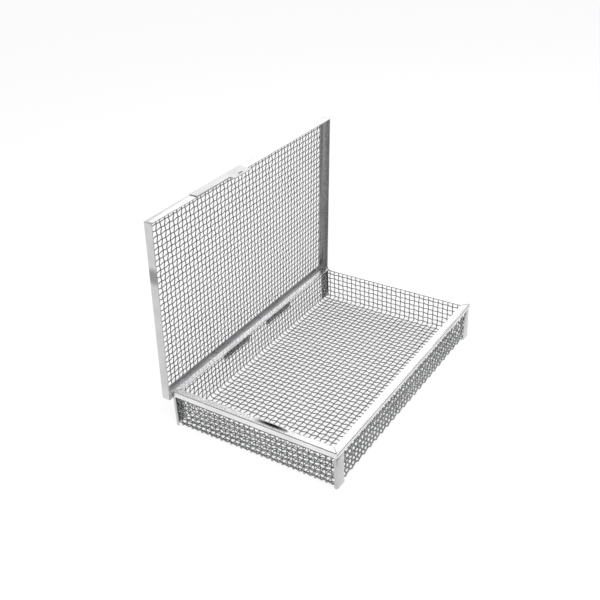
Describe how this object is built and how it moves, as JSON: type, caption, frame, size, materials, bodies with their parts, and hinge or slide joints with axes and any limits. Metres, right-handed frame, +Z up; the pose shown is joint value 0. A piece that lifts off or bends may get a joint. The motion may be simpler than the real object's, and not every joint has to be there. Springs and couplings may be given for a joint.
{
  "type": "autoclave basket",
  "caption": "Shallow rectangular woven-wire sterilising tray with a folded sheet rim and a hinged, framed wire-mesh lid held shut by a sprung catch.",
  "frame": {"origin": "middle of the tray's underside", "axes": "+X along the long sides, +Y towards the hinges, +Z up"},
  "size_m": [0.3214, 0.2122, 0.244],
  "materials": {
    "woven_wire": "electropolished stainless wire",
    "rim_sheet": "electropolished stainless sheet",
    "lid_frame_sheet": "electropolished stainless sheet",
    "corner_strap_sheet": "electropolished stainless sheet",
    "spring_plate": "satin spring stainless",
    "hinge_leaves": "satin stainless sheet",
    "hinge_pins": "plain stainless pin"
  },
  "bodies": {
    "basket": {"basket_mesh": "woven_wire", "rim_front": "rim_sheet", "rim_back": "rim_sheet", "rim_left": "rim_sheet", "rim_right": "rim_sheet", "corner_strap_front_left": "corner_strap_sheet", "corner_strap_front_right": "corner_strap_sheet", "corner_strap_back_left": "corner_strap_sheet", "corner_strap_back_right": "corner_strap_sheet", "hinge_left_base_leaf": "hinge_leaves", "hinge_left_pin": "hinge_pins", "hinge_right_base_leaf": "hinge_leaves", "hinge_right_pin": "hinge_pins"},
    "lid": {"lid_mesh": "woven_wire", "lid_frame_front": "lid_frame_sheet", "lid_frame_back": "lid_frame_sheet", "lid_frame_left": "lid_frame_sheet", "lid_frame_right": "lid_frame_sheet", "hinge_left_lid_leaf": "hinge_leaves", "hinge_right_lid_leaf": "hinge_leaves", "spring_catch": "spring_plate"}
  },
  "joints": [
    {"name": "lid_hinge", "type": "hinge", "parent": "basket", "child": "lid", "pos_m": [0, 0.102, 0.0384], "axis": [1, 0, 0], "range_deg": [0, 87.5]}
  ]
}
